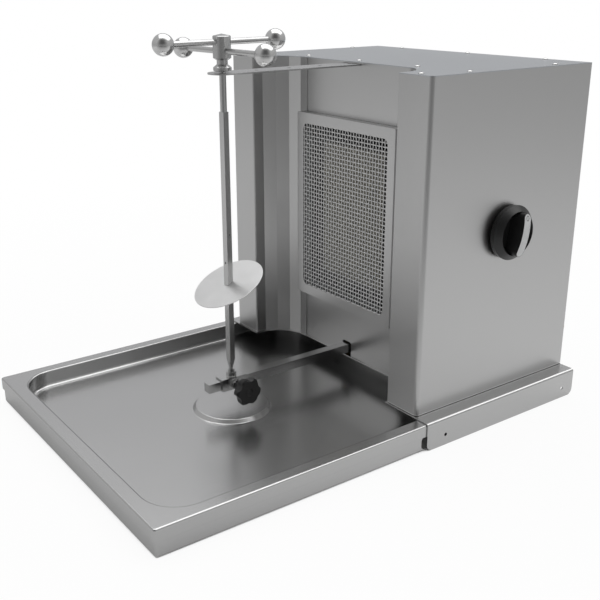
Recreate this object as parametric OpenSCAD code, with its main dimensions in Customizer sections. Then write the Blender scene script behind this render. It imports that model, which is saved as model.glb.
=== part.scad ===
// Table-top gas gyro grill with a hand-turned vertical spit.
// Millimetres, +Z up, front is -Y, the gas knob is on the +X side.
// Y is first measured from the front edge of the drip tray, then the whole
// machine is moved so that the origin is at the centre of its footprint.

/* [Body] */
// Height of the top cover above the table
unit_h = 505; // [470:1:560]
// Width of the burner body over its side panels
body_w = 456; // [430:1:470]
// Distance from the front of the tray to the front of the body
body_front = 421.4; // [400:0.2:460]
// Depth of the body, front wings to back panel
body_d = 312.4; // [290:0.2:340]
// Sheet thickness of the body panels
panel_t = 1.2; // [0.8:0.1:2]
// Outside radius of the front corners of the body
corner_r = 7; // [4:0.5:10]
// Half the distance between the two front wings
wing_in = 167.5; // [160:0.5:175]
// Depth of the fold at the inner edge of each wing
wing_return = 18.5; // [12:0.5:24]
// Length of one facet of the folded reflector
facet_len = 21.5; // [18:0.5:24]
// Half the distance between the lips of the two reflectors
lip_in = 107.7; // [95:0.1:112]
// Width of the flanges that the top cover is screwed to
flange_w = 18; // [14:1:22]

/* [Base plate] */
// Height of the top of the base plate above the table
base_h = 42; // [40:0.5:50]
// Gap between the tray and each side flange
tray_side_gap = 0.5; // [0.4:0.1:1]
// Sheet thickness of the base plate
base_t = 1.5; // [1:0.1:2]
// How far the plate stands out in front of the panels on it
base_lip = 1.4; // [0.5:0.1:3]
// Outside radius of the fold along each side
base_bend = 4; // [2.5:0.5:6]
// Radius of the lower corners of the side flanges
flange_corner = 10; // [5:0.5:14]
// Diameter of the fixing holes in the side flanges
fixing_d = 5; // [4:0.1:7]
// Height of the fixing holes above the table
fixing_z = 16; // [13:0.5:20]
// Front fixing hole, from the front edge of the base plate
fixing_front = 35.5; // [25:0.5:60]
// Distance between the two fixing holes of one flange
fixing_pitch = 253; // [200:1:260]

/* [Drip tray] */
// Width over the tray
tray_w = 504; // [500:1:505]
// Length of the tray, most of it in front of the body
tray_l = 560; // [540:1:620]
// Height of the tray rim above the table
tray_h = 40; // [36:0.2:40.2]
// Sheet thickness of the tray
tray_t = 1.2; // [0.8:0.1:1.5]
// Width of the rim at the two sides
rim_side = 20.5; // [15:0.5:26]
// Width of the rim at the front and the back
rim_end = 22; // [16:0.5:28]
// Height of the outer skirt below the rim
skirt_h = 17.5; // [14:0.5:22]
// Step inwards from the skirt to the lower wall
skirt_step = 2.5; // [1.5:0.1:3]
// Gap between the lower wall and the table
tray_gap = 2; // [2:0.5:8]
// Radius of the corners of the basin
basin_r = 50; // [30:1:70]
// Depth of the basin below the rim
basin_depth = 25.5; // [20:0.5:28]
// Radius between the basin wall and its floor
cove_r = 6; // [3:0.5:10]
// Radius of the top of the round boss pressed into the floor
boss_r = 53.6; // [45:0.2:60]
// Height of that boss
boss_h = 5.5; // [4:0.5:7.5]
// Middle of the slot in each side wall, from the front of the tray
tray_slot_y = 420.5; // [300:0.5:480]
// Length of that slot
tray_slot_l = 14; // [12:0.5:40]
// Diameter of the rubber feet under the basin
foot_d = 26; // [18:1:34]

/* [Burner] */
// Outside width of the burner frame
frame_w = 227.6; // [215:0.2:240]
// Outside height of the burner frame
frame_h = 296.8; // [280:0.2:320]
// Height of the lower edge of the frame above the table
frame_z = 125.8; // [110:0.2:140]
// How far the frame stands in front of the centre panel
frame_d = 15; // [10:0.5:20]
// Width of the window in the frame
window_w = 197.6; // [180:0.2:200]
// Height of the window in the frame
window_h = 265.2; // [240:0.2:268]
// Radius of the corners of the window
window_r = 11; // [4:0.5:14]
// Thickness of the wires of the guard mesh
wire_t = 2; // [1.4:0.1:2.6]
// Gaps of the guard mesh across
mesh_cols = 15; // [8:1:16]
// Gaps of the guard mesh up
mesh_rows = 20; // [10:1:20]
// Width of the glowing ceramic face
tile_w = 140; // [120:1:160]
// Height of one ceramic plate
tile_h = 70; // [50:0.5:72]
// Number of ceramic plates, one above the other
tile_count = 3; // [1:1:3]
// Thickness of the ceramic plates
tile_t = 13; // [10:0.5:16]
// Distance from the centre panel back to the ceramic face
tile_back = 6; // [5:0.5:10]

/* [Support bar and slide] */
// Side of the square bar that carries the spit
bar_side = 14; // [12:0.5:16]
// Height of the centre of the bar above the table
bar_z = 56; // [54:0.5:60]
// Length of the bar in front of the centre panel
bar_reach = 264; // [250:1:300]
// Length of the bar inside the body
bar_inside = 76; // [60:1:100]
// Running gap between the bar and its sleeve
sleeve_gap = 0.4; // [0.2:0.05:0.6]
// Wall of the sleeve
sleeve_wall = 2.1; // [1.5:0.1:2.5]
// Length of the sleeve
sleeve_l = 42; // [34:1:50]
// Across flats of the two welded nuts
nut_af = 13; // [12:0.5:14]
// Height of the welded nuts
nut_h = 6.5; // [5:0.1:8]
// Diameter of the clamp stud and of the pivot cup's shank
stud_d = 8; // [6:0.5:9]
// Diameter over the lobes of the star knob
star_d = 42; // [36:1:46]
// Thickness of the lobed part of the star knob
star_t = 13; // [9:0.5:16]
// Distance from the bar's centre to the star knob's front face
star_front = 50; // [44:0.5:56]

/* [Spit] */
// Distance from the front of the tray to the spit
spit_y = 262.9; // [240:0.1:280]
// Side of the square spit
spit_side = 9; // [8:0.1:10]
// Turn of the square spit against the machine at rest
spit_turn = 9; // [0:1:45]
// Height at which the point of the spit starts to taper
taper_z = 94; // [90:0.5:110]
// Height at which the square spit ends and the journal starts
shoulder_z = 451; // [430:0.5:460]
// Diameter of the round journal at the top of the spit
journal_d = 9; // [8:0.1:10]
// Radius of the meat disc
disc_r = 53; // [40:0.5:60]
// Thickness of the meat disc
disc_t = 1.2; // [0.8:0.1:2]
// Tilt of the disc where it binds on the spit
disc_tilt = 26; // [15:1:30]
// Height of the centre of the disc above the table
disc_z = 208.8; // [170:0.2:260]
// Cross holes through the square spit
pin_hole_d = 2.6; // [2:0.1:3.5]

/* [Handle] */
// Diameter of the handle hub
hub_d = 24; // [20:0.5:28]
// Height of the handle hub
hub_h = 33; // [30:0.5:38]
// Diameter of the two cross rods
rod_d = 8; // [6:0.5:9]
// Distance from the spit to the balls of the upper rod
upper_reach = 88.6; // [70:0.2:100]
// Distance from the spit to the balls of the lower rod
lower_reach = 93.8; // [70:0.2:100]
// Turn of the handle about the spit at rest
handle_turn = 3; // [0:1:45]
// Diameter of the balls
ball_d = 28; // [22:1:32]
// Height of the lower rod above the hub's lower face
rod_low = 11; // [9:0.5:12]
// Vertical distance between the two rods
rod_step = 11.7; // [10:0.1:14]

/* [Top arm] */
// Width of the flat arm
arm_w = 40; // [34:1:46]
// Thickness of the flat arm
arm_t = 2; // [1.5:0.5:4]
// Depth of the arm's top below the top of the cover
arm_drop = 2.8; // [2.8:0.1:4]
// Length of the arm from the spit to its inner end
arm_l = 297; // [270:1:300]
// Pitch of the holes along the arm
arm_pitch = 54; // [40:1:56]
// Diameter of those holes
arm_hole_d = 5.5; // [4:0.5:7]

/* [Gas knob] */
// Height of the knob's axis above the table
knob_z = 283.9; // [240:0.1:320]
// Distance from the front of the tray to the knob's axis
knob_y = 581.4; // [560:0.1:620]
// Diameter of the knob's skirt
knob_d = 78.2; // [64:0.2:90]
// Gap between the knob and the panel
knob_gap = 3.5; // [3.4:0.1:6]
// How far the grip stands out from the panel
knob_out = 33.1; // [30:0.1:36]
// Width of the grip
grip_w = 14; // [10:0.2:15]
// Length of the grip
grip_l = 61; // [50:1:62]
// Turn of the knob from upright at rest
knob_turn = 12; // [0:0.5:20]
// Diameter of the valve stem
stem_d = 8; // [6:0.5:10]

/* [Gas line] */
// Outside diameter of the gas pipes
pipe_d = 10; // [8:0.5:12]
// Wall of the gas pipes
pipe_wall = 1; // [0.8:0.1:1.5]
// Outside diameter of the inlet thread
inlet_d = 20.96; // [16:0.01:27]
// Length of the inlet thread behind its locknut
inlet_l = 16; // [10:0.5:20]
// Height of the gas inlet above the table
inlet_z = 95; // [80:1:140]

/* [Hidden] */

$fn = 48;
eps = 0.01;
// Radial clearance of a running fit
run_fit = 0.05;
// Gap between pieces that pass each other without a fit
pass_gap = 0.3;
// Segments in the bend of a folded sheet
bend_steps = 4;
// Finishes, as RGB
steel = [0.66, 0.67, 0.68];
bright_steel = [0.78, 0.79, 0.80];
dark_steel = [0.35, 0.35, 0.36];
black_plastic = [0.07, 0.07, 0.07];
ceramic = [0.78, 0.74, 0.64];
brass = [0.72, 0.58, 0.30];
rubber = [0.10, 0.10, 0.10];

body_back = body_front + body_d;
half_w = body_w / 2;
base_w = tray_w + 2 * (tray_side_gap + base_t);
cover_z = unit_h - panel_t;
flange_z = cover_z - panel_t;
panel_h = cover_z - base_h;
base_front = body_front - base_lip;
base_l = body_back - base_front;
locknut_t = 6;
inlet_out = locknut_t + inlet_l;
depth_total = body_back + inlet_out;
floor_z = tray_h - basin_depth;
bar_top = bar_z + bar_side / 2;
sleeve_side = bar_side + 2 * (sleeve_gap + sleeve_wall);
sleeve_top = bar_z + sleeve_side / 2;
arm_z = unit_h - arm_drop - arm_t;
frame_mid = frame_z + frame_h / 2;

// Folded sheet outlines

function unit(v) = v / norm(v);
function left_of(v) = [-v[1], v[0]];
function backwards(p) = [for (i = [len(p) - 1:-1:0]) p[i]];
function mirror_x(p) = [for (q = p) [-q[0], q[1]]];

// The arc that rounds corner b of the line a-b-c with radius r
function bend_points(a, b, c, r) =
    let (
        u = unit(a - b),
        v = unit(c - b),
        half = acos(u * v) / 2,
        centre = b + unit(u + v) * r / sin(half),
        start = b + u * r / tan(half) - centre,
        end = b + v * r / tan(half) - centre,
        from = atan2(start[1], start[0]),
        sweep = atan2(end[1], end[0]) - from,
        turn = sweep > 180 ? sweep - 360 : sweep < -180 ? sweep + 360 : sweep
    )
    [for (i = [0:bend_steps])
        let (angle = from + turn * i / bend_steps)
        centre + r * [cos(angle), sin(angle)]];

// The line p with each inner corner rounded
function bent(p, r) = [
    p[0],
    for (i = [1:len(p) - 2]) each bend_points(p[i - 1], p[i], p[i + 1], r),
    p[len(p) - 1]
];

// The line p moved sideways by t, to its left
function beside(p, t) = [
    for (i = [0:len(p) - 1])
        let (
            next = i == len(p) - 1 ? undef : unit(p[i + 1] - p[i]),
            before = i == 0 ? next : unit(p[i] - p[i - 1]),
            after = i == len(p) - 1 ? before : next,
            n = unit(left_of(before) + left_of(after))
        )
        p[i] + n * t / (n * left_of(after))
];

// Sheet of thickness t to the left of the line p
function sheet_outline(p, t) = concat(p, backwards(beside(p, t)));

// A profile carried round a rectangle w by l with corner radius r; the
// profile's x is measured outwards from that rectangle
module around(w, l, r) {
    for (side = [0, 1]) {
        rotate([0, 0, side * 180]) {
            translate([w / 2, l / 2 - r, 0])
                rotate([90, 0, 0])
                linear_extrude(l - 2 * r)
                children();
            translate([-w / 2 + r, -l / 2, 0])
                rotate([90, 0, 90])
                mirror([1, 0, 0])
                linear_extrude(w - 2 * r)
                children();
            translate([w / 2 - r, l / 2 - r, 0])
                rotate_extrude(angle = 90)
                translate([r, 0])
                children();
            translate([-w / 2 + r, l / 2 - r, 0])
                rotate([0, 0, 90])
                rotate_extrude(angle = 90)
                translate([r, 0])
                children();
        }
    }
}

// Rectangle with round corners, centred
module round_rect(w, l, r) {
    square([w - 2 * r, l], center = true);
    square([w, l - 2 * r], center = true);
    for (x = [-1, 1], y = [-1, 1]) {
        translate([x * (w / 2 - r), y * (l / 2 - r)])
            circle(r);
    }
}

// Upright plate from a drawing in X and Z; its front face is at y
module upright(y, t) {
    translate([0, y + t, 0])
        rotate([90, 0, 0])
        linear_extrude(t)
        children();
}

// Cylinder along X from x0 to x1
module rod_x(x0, x1, r) {
    translate([x0, 0, 0])
        rotate([0, 90, 0])
        cylinder(h = x1 - x0, r = r);
}

// Cylinder along Y from y0 to y1
module rod_y(y0, y1, r) {
    translate([0, y1, 0])
        rotate([90, 0, 0])
        cylinder(h = y1 - y0, r = r);
}

// Hexagon prism along Z, standing on z = 0
module hex_prism(af, h) {
    cylinder(h = h, d = af / cos(30), $fn = 6);
}

// Button head with a hexagon socket, standing on z = 0, its shank below
module button_screw(head_d, shank_d, shank_l) {
    head_h = head_d * 0.3;
    difference() {
        union() {
            intersection() {
                cylinder(h = head_h, d = head_d);
                translate([0, 0, head_h - head_d * 0.75])
                    sphere(head_d * 0.75);
            }
            translate([0, 0, -shank_l])
                cylinder(h = shank_l + eps, d = shank_d);
        }
        translate([0, 0, head_h * 0.4])
            hex_prism(2.5, head_h);
    }
}

// Reflector line: the wing's front corner, then a facet every 22.5 degrees
facet_angle = 22.5;
q0 = [wing_in, body_front];
q1 = q0 + wing_return * [0, 1];
q2 = q1 + facet_len * [-sin(facet_angle), cos(facet_angle)];
q3 = q2 + facet_len * [-sin(2 * facet_angle), cos(2 * facet_angle)];
q4 = q3 + facet_len * [-sin(3 * facet_angle), cos(3 * facet_angle)];
q5 = [lip_in, q4[1]];
reflector_line = [q1, q2, q3, q4, q5];
panel_y = q4[1] + panel_t;
cavity_line = concat([q0], reflector_line);

// Places of the cover screws
screw_inset = flange_w / 2 + panel_t;
side_screw_x = half_w - screw_inset;
cover_screw_places = [
    [-half_w + 30, body_front + screw_inset],
    [half_w - 30, body_front + screw_inset],
    [-122, panel_y + screw_inset + 3],
    [0, panel_y + screw_inset + 3],
    [122, panel_y + screw_inset + 3],
    [-side_screw_x, panel_y + screw_inset + 3],
    [side_screw_x, panel_y + screw_inset + 3],
    [-side_screw_x, body_back - 68],
    [side_screw_x, body_back - 68],
    [-154, body_back - screw_inset],
    [0, body_back - screw_inset],
    [154, body_back - screw_inset]
];
cover_head_d = 7.6;
cover_shank_d = 4;
back_head_d = 7.6;
back_screw_x = half_w - screw_inset;
back_screw_end = 80;
back_screw_z = [base_h + back_screw_end, frame_mid, cover_z - back_screw_end];

// Outline of the body seen from above, with the recess between the wings.
// proud moves the recess edge towards the front and the centre.
module body_plan(proud) {
    recess = proud == 0 ? cavity_line : beside(cavity_line, proud);
    right_front = [half_w, body_front - proud];
    corner = bend_points([half_w, body_back], right_front, [wing_in, body_front - proud], corner_r);
    right = concat([[half_w, body_back]], corner, [[recess[0][0], body_front - proud]], recess);
    panel_edge = [[0, panel_y - proud]];
    half = concat(right, [[q5[0] - proud, panel_y - proud]], panel_edge);
    polygon(concat(half, backwards(mirror_x(right))));
}

module base_plate() {
    half = base_w / 2;
    side = [[-half, 0], [-half, base_h], [half, base_h], [half, 0]];
    cut = beside(cavity_line, base_lip);
    notch = concat([[cut[0][0], base_front - 1]], cut,
        [[q5[0] - base_lip, panel_y - base_lip]]);
    color(steel)
    difference() {
        intersection() {
            translate([0, base_front + base_l, 0])
                rotate([90, 0, 0])
                linear_extrude(base_l)
                polygon(sheet_outline(bent(side, base_bend), -base_t));
            translate([-half - 1, base_front, 0])
                rotate([90, 0, 90])
                linear_extrude(base_w + 2)
                flange_side();
        }
        translate([0, 0, base_h - 2 * base_t])
            linear_extrude(3 * base_t)
            polygon(concat(notch, backwards(mirror_x(notch))));
        for (i = [0, 1]) {
            translate([0, base_front + fixing_front + i * fixing_pitch, fixing_z])
                rod_x(-half - 1, half + 1, fixing_d / 2);
        }
    }
}

// Side view of the base plate, from its front edge: round lower corners
module flange_side() {
    translate([0, flange_corner])
        square([base_l, base_h - flange_corner]);
    translate([flange_corner, 0])
        square([base_l - 2 * flange_corner, base_h]);
    for (y = [flange_corner, base_l - flange_corner]) {
        translate([y, flange_corner])
            circle(flange_corner);
    }
}

basin_w = tray_w - 2 * rim_side;
basin_l = tray_l - 2 * rim_end;
tray_edge_r = 4;
edge_bend = 2.5;
boss_skirt = 5;
boss_bend = 2.2;

// Round-cornered slot through both lower side walls
module tray_slots() {
    slot_h = tray_h - skirt_h - tray_gap - 2;
    for (side = [-1, 1]) {
        translate([side * (tray_w / 2 - skirt_step), tray_slot_y, tray_gap + 1 + slot_h / 2])
            rotate([0, 90, 0])
            linear_extrude(8, center = true)
            round_rect(slot_h, tray_slot_l, 5.5);
    }
}

module drip_tray() {
    wall = [[0, 0], [0, -skirt_h], [-skirt_step, -skirt_h - skirt_step / 2],
        [-skirt_step, tray_gap - tray_h]];
    lip = [[-tray_edge_r + eps, 0], [0, 0]];
    skirt_line = concat([lip[0]], bend_points(lip[0], lip[1], wall[1], edge_bend),
        [wall[1], wall[2], wall[3]]);
    cove = [[tray_edge_r, 0], [0, 0], [0, -basin_depth], [-cove_r - 4, -basin_depth]];
    wall_line = concat([cove[0]], bend_points(cove[0], cove[1], cove[2], edge_bend),
        bend_points(cove[1], cove[2], cove[3], cove_r), [cove[3]]);
    boss_line = [[0, boss_h], [boss_r, boss_h], [boss_r + boss_skirt, 0],
        [boss_r + boss_skirt + 4, 0]];
    floor_in = cove_r + 4 - eps;
    color(steel)
    difference() {
        translate([0, tray_l / 2, 0]) {
            translate([0, 0, tray_h]) {
                around(tray_w, tray_l, tray_edge_r)
                    polygon(sheet_outline(skirt_line, -tray_t));
                around(basin_w, basin_l, basin_r)
                    polygon(sheet_outline(wall_line, tray_t));
            }
            translate([0, 0, tray_h - tray_t])
                linear_extrude(tray_t)
                difference() {
                    square([tray_w - 2 * tray_edge_r + 2 * eps, tray_l - 2 * tray_edge_r + 2 * eps],
                        center = true);
                    round_rect(basin_w + 2 * (tray_edge_r - eps), basin_l + 2 * (tray_edge_r - eps),
                        basin_r + tray_edge_r - eps);
                }
            translate([0, 0, floor_z - tray_t])
                linear_extrude(tray_t)
                difference() {
                    round_rect(basin_w - 2 * floor_in, basin_l - 2 * floor_in, basin_r - floor_in);
                    translate([0, spit_y - tray_l / 2])
                        circle(boss_r + boss_skirt + 4 - eps);
                }
            translate([0, spit_y - tray_l / 2, floor_z])
                rotate_extrude()
                polygon(sheet_outline(bent(boss_line, boss_bend), -tray_t));
        }
        tray_slots();
    }
}

module tray_feet() {
    x = basin_w / 2 - basin_r;
    color(rubber)
    for (side = [-x, x], y = [rim_end + basin_r, tray_l - rim_end - basin_r]) {
        translate([side, y, 0]) {
            cylinder(h = 3, d1 = foot_d - 3, d2 = foot_d);
            translate([0, 0, 3])
                cylinder(h = floor_z - tray_t - 3, d = foot_d);
        }
    }
}

// Side, front wing and inner fold in one sheet, with a flange under the
// cover, and on the knob's side a hole for the valve stem
module side_panel(stem_hole) {
    line = [[half_w, body_back], [half_w, body_front], [wing_in, body_front], q1];
    round_line = concat([line[0]], bend_points(line[0], line[1], line[2], corner_r),
        bend_points(line[1], line[2], line[3], edge_bend), [line[3]]);
    inner = half_w - panel_t;
    difference() {
        union() {
            translate([0, 0, base_h])
                linear_extrude(panel_h)
                polygon(sheet_outline(round_line, -panel_t));
            translate([0, 0, flange_z])
                linear_extrude(panel_t) {
                    translate([inner - flange_w, body_front + corner_r])
                        square([flange_w + eps, body_d - corner_r - 2 * panel_t]);
                    translate([wing_in + panel_t - eps, body_front + panel_t - eps])
                        square([inner - corner_r - wing_in - panel_t, flange_w]);
                }
        }
        cover_screw_shanks();
        if (stem_hole) {
            translate([0, knob_y, knob_z])
                rod_x(0, half_w + 1, stem_d / 2 + 2);
        }
    }
}

module right_side_panel() {
    color(steel)
        side_panel(true);
}

module left_side_panel() {
    color(steel)
    mirror([1, 0, 0])
        side_panel(false);
}

module reflector() {
    translate([0, 0, base_h])
        linear_extrude(panel_h)
        polygon(sheet_outline(reflector_line, -panel_t));
}

module right_reflector() {
    color(steel)
        reflector();
}

module left_reflector() {
    color(steel)
    mirror([1, 0, 0])
        reflector();
}

slot_w = bar_side + 7;
slot_top = bar_top + 3;
panel_half = q4[0] - 2;
opening_w = window_w - 8;
opening_h = window_h - 8;

module centre_panel() {
    color(steel)
    difference() {
        union() {
            upright(panel_y, panel_t)
                difference() {
                    translate([-panel_half, base_h])
                        square([2 * panel_half, panel_h]);
                    translate([0, frame_mid])
                        square([opening_w, opening_h], center = true);
                    bar_slot();
                }
            translate([-panel_half, panel_y + panel_t - eps, flange_z])
                cube([2 * panel_half, flange_w + 6, panel_t]);
        }
        translate([-arm_w / 2 - pass_gap, panel_y - 1, arm_z - pass_gap])
            cube([arm_w + 2 * pass_gap, panel_t + 1.5, arm_t + 2 * pass_gap]);
        cover_screw_shanks();
    }
}

// Slot for the support bar, open at the foot of the panel
module bar_slot() {
    r = 4;
    translate([-slot_w / 2, base_h - 1])
        square([slot_w, slot_top - base_h + 1 - r]);
    translate([-slot_w / 2 + r, base_h - 1])
        square([slot_w - 2 * r, slot_top - base_h + 1]);
    for (x = [-1, 1]) {
        translate([x * (slot_w / 2 - r), slot_top - r])
            circle(r);
    }
}

vent_rows = 7;
vent_w = 60;
vent_h = 6;
vent_pitch = 16;
inlet_x = half_w - 26;

module back_panel() {
    inner = half_w - panel_t;
    color(steel)
    difference() {
        union() {
            upright(body_back - panel_t, panel_t)
                difference() {
                    translate([-inner, base_h])
                        square([2 * inner, panel_h]);
                    for (row = [0:vent_rows - 1], x = [-1, 0, 1]) {
                        translate([x * (vent_w + 24), cover_z - 90 - row * vent_pitch])
                            round_rect(vent_w, vent_h, vent_h / 2 - eps);
                    }
                    translate([inlet_x, inlet_z])
                        circle(inlet_d / 2 + 0.5);
                }
            translate([-inner + flange_w + pass_gap, body_back - panel_t - flange_w, flange_z])
                cube([2 * (inner - flange_w - pass_gap), flange_w + eps, panel_t]);
        }
        cover_screw_shanks();
        back_screw_shanks();
    }
}

module top_cover() {
    color(steel)
    difference() {
        translate([0, 0, cover_z])
            linear_extrude(panel_t)
            body_plan(0);
        cover_screw_shanks();
    }
}

// The holes that the cover screws go through, at the size of their shanks
module cover_screw_shanks() {
    for (p = cover_screw_places) {
        translate([p[0], p[1], flange_z - 1])
            cylinder(h = 2 * panel_t + 2, d = cover_shank_d + 2 * run_fit);
    }
}

module cover_screws() {
    color(bright_steel)
    for (p = cover_screw_places) {
        translate([p[0], p[1], unit_h])
            button_screw(cover_head_d, cover_shank_d, 2 * panel_t);
    }
}

module back_screw_shanks() {
    for (side = [-1, 1], z = back_screw_z) {
        translate([side * back_screw_x, 0, z])
            rod_y(body_back - panel_t - 1, body_back + 1, cover_shank_d / 2 + run_fit);
    }
}

module back_screws() {
    color(bright_steel)
    for (side = [-1, 1], z = back_screw_z) {
        translate([side * back_screw_x, body_back, z])
            rotate([-90, 0, 0])
            button_screw(back_head_d, cover_shank_d, 6);
    }
}

frame_y = panel_y - frame_d;
frame_t = 1.2;

module burner_frame() {
    color(steel) {
        upright(frame_y, frame_t)
            translate([0, frame_mid])
            difference() {
                round_rect(frame_w, frame_h, 2.5);
                round_rect(window_w, window_h, window_r);
            }
        upright(frame_y + frame_t - eps, frame_d - frame_t - panel_t + eps)
            translate([0, frame_mid])
            difference() {
                round_rect(frame_w, frame_h, 2.5);
                square([frame_w - 2 * frame_t, frame_h - 2 * frame_t], center = true);
            }
    }
}

mesh_w = frame_w - 2 * frame_t - 2;
mesh_h = frame_h - 2 * frame_t - 2;
mesh_gap_w = (window_w - (mesh_cols + 1) * wire_t) / mesh_cols + wire_t;
mesh_gap_h = (window_h - (mesh_rows + 1) * wire_t) / mesh_rows + wire_t;

module burner_mesh() {
    color(bright_steel)
    upright(frame_y + frame_t, wire_t)
        translate([0, frame_mid])
        difference() {
            square([mesh_w, mesh_h], center = true);
            for (i = [0:mesh_cols - 1], j = [0:mesh_rows - 1]) {
                translate([(i - (mesh_cols - 1) / 2) * mesh_gap_w,
                        (j - (mesh_rows - 1) / 2) * mesh_gap_h])
                    square([mesh_gap_w - wire_t, mesh_gap_h - wire_t], center = true);
            }
        }
}

housing_y = panel_y + panel_t;
housing_d = 46;
plate_y = panel_y + tile_back;
tiles_h = tile_count * tile_h;
body_wall = 5;
plenum_w = tile_w + 2 * body_wall;
plenum_h = tiles_h + 2 * body_wall;
plenum_y = plate_y + 2;
plenum_back = housing_y + housing_d - panel_t;
tube_x = -42;
probe_d = 3;
probe_x = tile_w / 2 - 20;
probe_y = (panel_y + panel_t + plate_y) / 2;
tube_y = plenum_y + tile_t + 10;

module burner_housing() {
    color(dark_steel)
    difference() {
        union() {
            upright(housing_y, housing_d - panel_t)
                translate([0, frame_mid])
                difference() {
                    square([opening_w + 2 * panel_t + 8, opening_h + 2 * panel_t + 8], center = true);
                    square([opening_w + 8, opening_h + 8], center = true);
                }
            upright(plenum_back, panel_t)
                translate([0, frame_mid])
                square([opening_w + 2 * panel_t + 8, opening_h + 2 * panel_t + 8], center = true);
        }
        translate([tube_x, tube_y, frame_mid - opening_h / 2 - 10])
            cylinder(h = 20, d = 28 + 2 * run_fit);
        translate([probe_x, probe_y, frame_mid - opening_h / 2 - 10])
            cylinder(h = 20, d = probe_d + 2 * run_fit);
    }
}

module burner_body() {
    color(dark_steel)
    difference() {
        upright(plenum_y, plenum_back - plenum_y)
            translate([0, frame_mid])
            round_rect(plenum_w, plenum_h, 4);
        upright(plenum_y - 1, tile_t + 1)
            translate([0, frame_mid])
            square([tile_w + 2 * run_fit, tiles_h + 2 * run_fit], center = true);
        upright(plenum_y + tile_t - 1, plenum_back - plenum_y - tile_t - 2)
            translate([0, frame_mid])
            square([tile_w - 8, tiles_h - 8], center = true);
        translate([tube_x, tube_y, frame_mid - plenum_h / 2 - 1])
            cylinder(h = body_wall + 6, d = 24);
    }
}

module ceramic_plates() {
    color(ceramic)
    for (i = [0:tile_count - 1]) {
        translate([-tile_w / 2, plate_y, frame_mid - tiles_h / 2 + i * tile_h])
            cube([tile_w, tile_t + 1.8, tile_h - 0.4]);
    }
}

// Venturi that draws air in round the injector
module mixing_tube() {
    top = frame_mid - plenum_h / 2;
    foot = injector_z + 16;
    throat = foot + 30;
    color(steel)
    translate([tube_x, tube_y, 0])
        rotate_extrude()
        polygon([
            [12, top], [14, top], [14, throat + 20], [10, throat], [20, foot],
            [18.6, foot], [8.6, throat], [12, throat + 20]
        ]);
}

injector_z = base_h + 3.6 * pipe_d;

module gas_injector() {
    color(brass)
    translate([tube_x, tube_y, injector_z])
    difference() {
        union() {
            hex_prism(14, 9);
            translate([0, 0, 9])
                cylinder(h = 5, d1 = 9, d2 = 5);
        }
        translate([0, 0, -1])
            cylinder(h = 11, d = 6);
        cylinder(h = 20, d = 1.6);
    }
}

// Rotation about X, Y and Z that turns +X to a and +Y to b
function turn_to(a, b) =
    let (c = cross(a, b))
    abs(a[2]) < 0.9
        ? [atan2(b[2], c[2]), -asin(a[2]), atan2(a[1], a[0])]
        : [atan2(-a[2] * b[0], -a[2] * c[0]), -90 * a[2], 0];

// Hollow pipe through the points, each turn a right angle with bend radius r
module pipe_run(points, r, d, wall) {
    last = len(points) - 1;
    for (i = [1:last]) {
        along = unit(points[i] - points[i - 1]);
        side = abs(along[2]) > 0.9 ? [1, 0, 0] : [0, 0, 1];
        start = points[i - 1] + along * (i == 1 ? 0 : r);
        run = norm(points[i] - points[i - 1]) - (i == 1 ? 0 : r) - (i == last ? 0 : r);
        translate(start)
            rotate(turn_to(along, side))
            rotate([0, 90, 0])
            linear_extrude(run)
            pipe_section(d, wall);
        if (i < last) {
            next = unit(points[i + 1] - points[i]);
            translate(points[i] + r * (next - along))
                rotate(turn_to(-next, along))
                rotate_extrude(angle = 90)
                translate([r, 0])
                pipe_section(d, wall);
        }
    }
}

module pipe_section(d, wall) {
    difference() {
        circle(d = d);
        if (wall > 0) circle(d = d - 2 * wall);
    }
}

valve_l = 36;
valve_x = inlet_x - valve_l / 2;
valve_d = 30;
port_l = 14;
pipe_bend = 1.4 * pipe_d;
inlet_hex = 12;

module gas_pipe() {
    low = base_h + 2 * pipe_d;
    color(brass)
    pipe_run([
        [inlet_x, knob_y, knob_z - valve_d / 2 - port_l],
        [inlet_x, knob_y, low],
        [tube_x, knob_y, low],
        [tube_x, tube_y, low],
        [tube_x, tube_y, injector_z]
    ], pipe_bend, pipe_d, pipe_wall);
}

push_travel = 3;

// Tap body with its inlet port to the back and its outlet port below
module gas_valve() {
    color(brass)
    difference() {
        union() {
            translate([0, knob_y, knob_z]) {
                rod_x(valve_x, valve_x + valve_l, valve_d / 2);
                rod_x(valve_x + valve_l - eps, half_w - panel_t, 9);
            }
            translate([inlet_x, knob_y, knob_z - valve_d / 2 - port_l])
                cylinder(h = port_l + 4, d = pipe_d + 6);
            translate([inlet_x, 0, knob_z])
                rod_y(knob_y + valve_d / 2 - 4, knob_y + valve_d / 2 + port_l, pipe_d / 2 + 3);
        }
        translate([0, knob_y, knob_z])
            rod_x(valve_x + 6, half_w, stem_d / 2 + run_fit);
    }
}

module valve_push_rod() {
    color(bright_steel)
    translate([0, knob_y, knob_z])
        rod_x(valve_x + 6 + push_travel + pass_gap, valve_x + 20, stem_d / 2);
}

module valve_stem() {
    color(bright_steel)
    translate([0, knob_y, knob_z])
    difference() {
        rod_x(valve_x + 20 + run_fit, half_w + 18, stem_d / 2);
        translate([half_w + knob_gap, -stem_d / 2, stem_d / 2 - 1.5])
            cube([20, stem_d, 2]);
    }
}

knob_face = half_w + knob_gap;
grip_arc = 105;
grip_cut = 2 * knob_d;
insert_w = grip_w - 1;
insert_l = grip_l - 1;
insert_t = 2;
skirt_r = knob_d / 2;
skirt_back = 2.5;
skirt_band = 7.8;
skirt_t = 16;
dish_z = 4.5;
dish_r = skirt_r - 8.2;

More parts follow.
